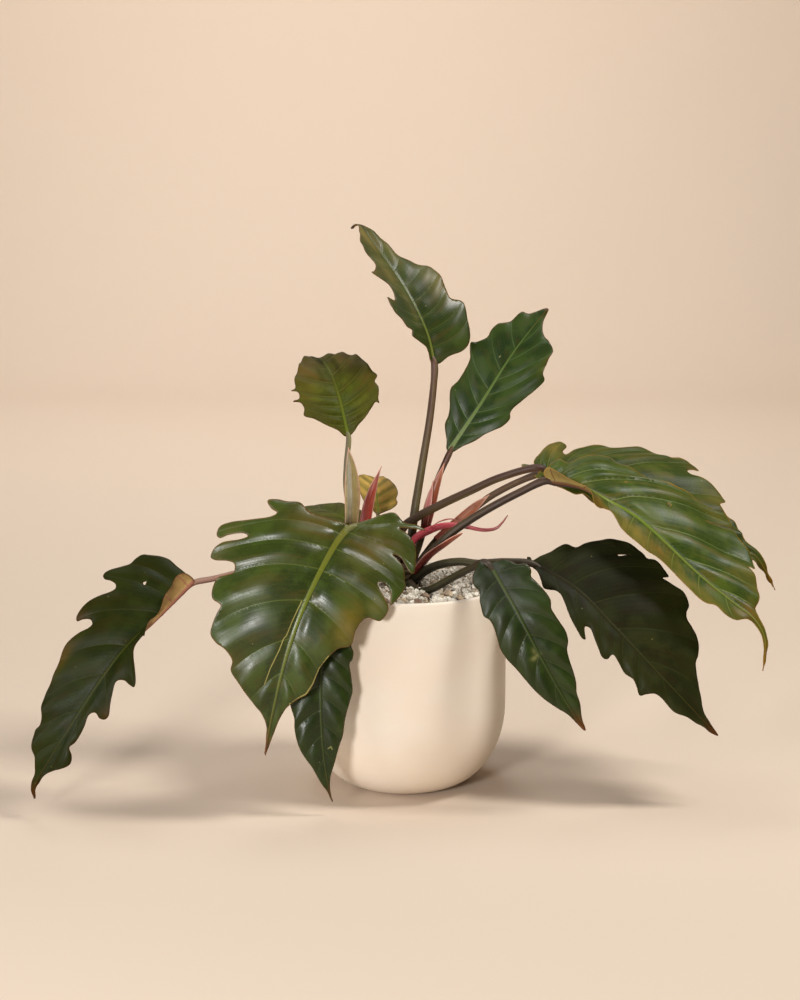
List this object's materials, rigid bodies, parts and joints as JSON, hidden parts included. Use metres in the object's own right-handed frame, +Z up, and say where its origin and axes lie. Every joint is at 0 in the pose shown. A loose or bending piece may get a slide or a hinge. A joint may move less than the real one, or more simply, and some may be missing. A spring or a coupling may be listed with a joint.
{
  "type": "potted house plant",
  "caption": "Broad-leaved aroid house plant with toothed, deeply lobed drooping leaves on long stalks, standing in a plain round cream planter filled with pumice.",
  "frame": {"origin": "middle of the planter's flat foot, on the surface it stands on", "axes": "+Z up along the planter's axis, -Y the side that the large leaf faces, +X towards the three long stalks"},
  "size_m": [0.7092, 0.2398, 0.5404],
  "materials": {
    "planter_ceramic": "satin",
    "potting_soil": "matte",
    "pumice": "matte",
    "stem": "matte",
    "dark_stalk": "satin",
    "green_stalk": "satin",
    "green_leaf": "satin",
    "shade_leaf": "satin",
    "bronze_leaf": "satin",
    "red_sheath": "satin",
    "orange_sheath": "satin",
    "tan_sheath": "satin",
    "pink_shoot": "satin"
  },
  "bodies": {
    "root": {"planter": "planter_ceramic", "potting_soil": "potting_soil", "gravel_top_dressing": "pumice", "stem": "stem", "petiole_top": "dark_stalk", "petiole_upper_right": "dark_stalk", "petiole_upper_left": "green_stalk", "petiole_small_back": "green_stalk", "petiole_large_front": "green_stalk", "petiole_lower_left": "green_stalk", "petiole_far_left": "dark_stalk", "petiole_right_front": "dark_stalk", "petiole_right_rear": "dark_stalk", "petiole_right_inner": "dark_stalk", "petiole_lower_right": "dark_stalk", "petiole_front_right": "dark_stalk", "petiole_edge_on": "green_stalk", "leaf_top": "green_leaf", "leaf_upper_right": "green_leaf", "leaf_upper_left": "bronze_leaf", "leaf_small_back": "bronze_leaf", "leaf_large_front": "green_leaf", "leaf_lower_left": "green_leaf", "leaf_far_left": "green_leaf", "leaf_right_front": "green_leaf", "leaf_right_rear": "green_leaf", "leaf_right_inner": "green_leaf", "leaf_lower_right": "shade_leaf", "leaf_front_right": "green_leaf", "leaf_edge_on": "bronze_leaf", "sheath_upper_left": "tan_sheath", "sheath_bare_red": "red_sheath", "sheath_upper_right": "orange_sheath", "sheath_small_pink": "red_sheath", "sheath_orange": "orange_sheath", "sheath_lower_red": "red_sheath", "unfurling_shoot": "pink_shoot"}
  },
  "joints": []
}
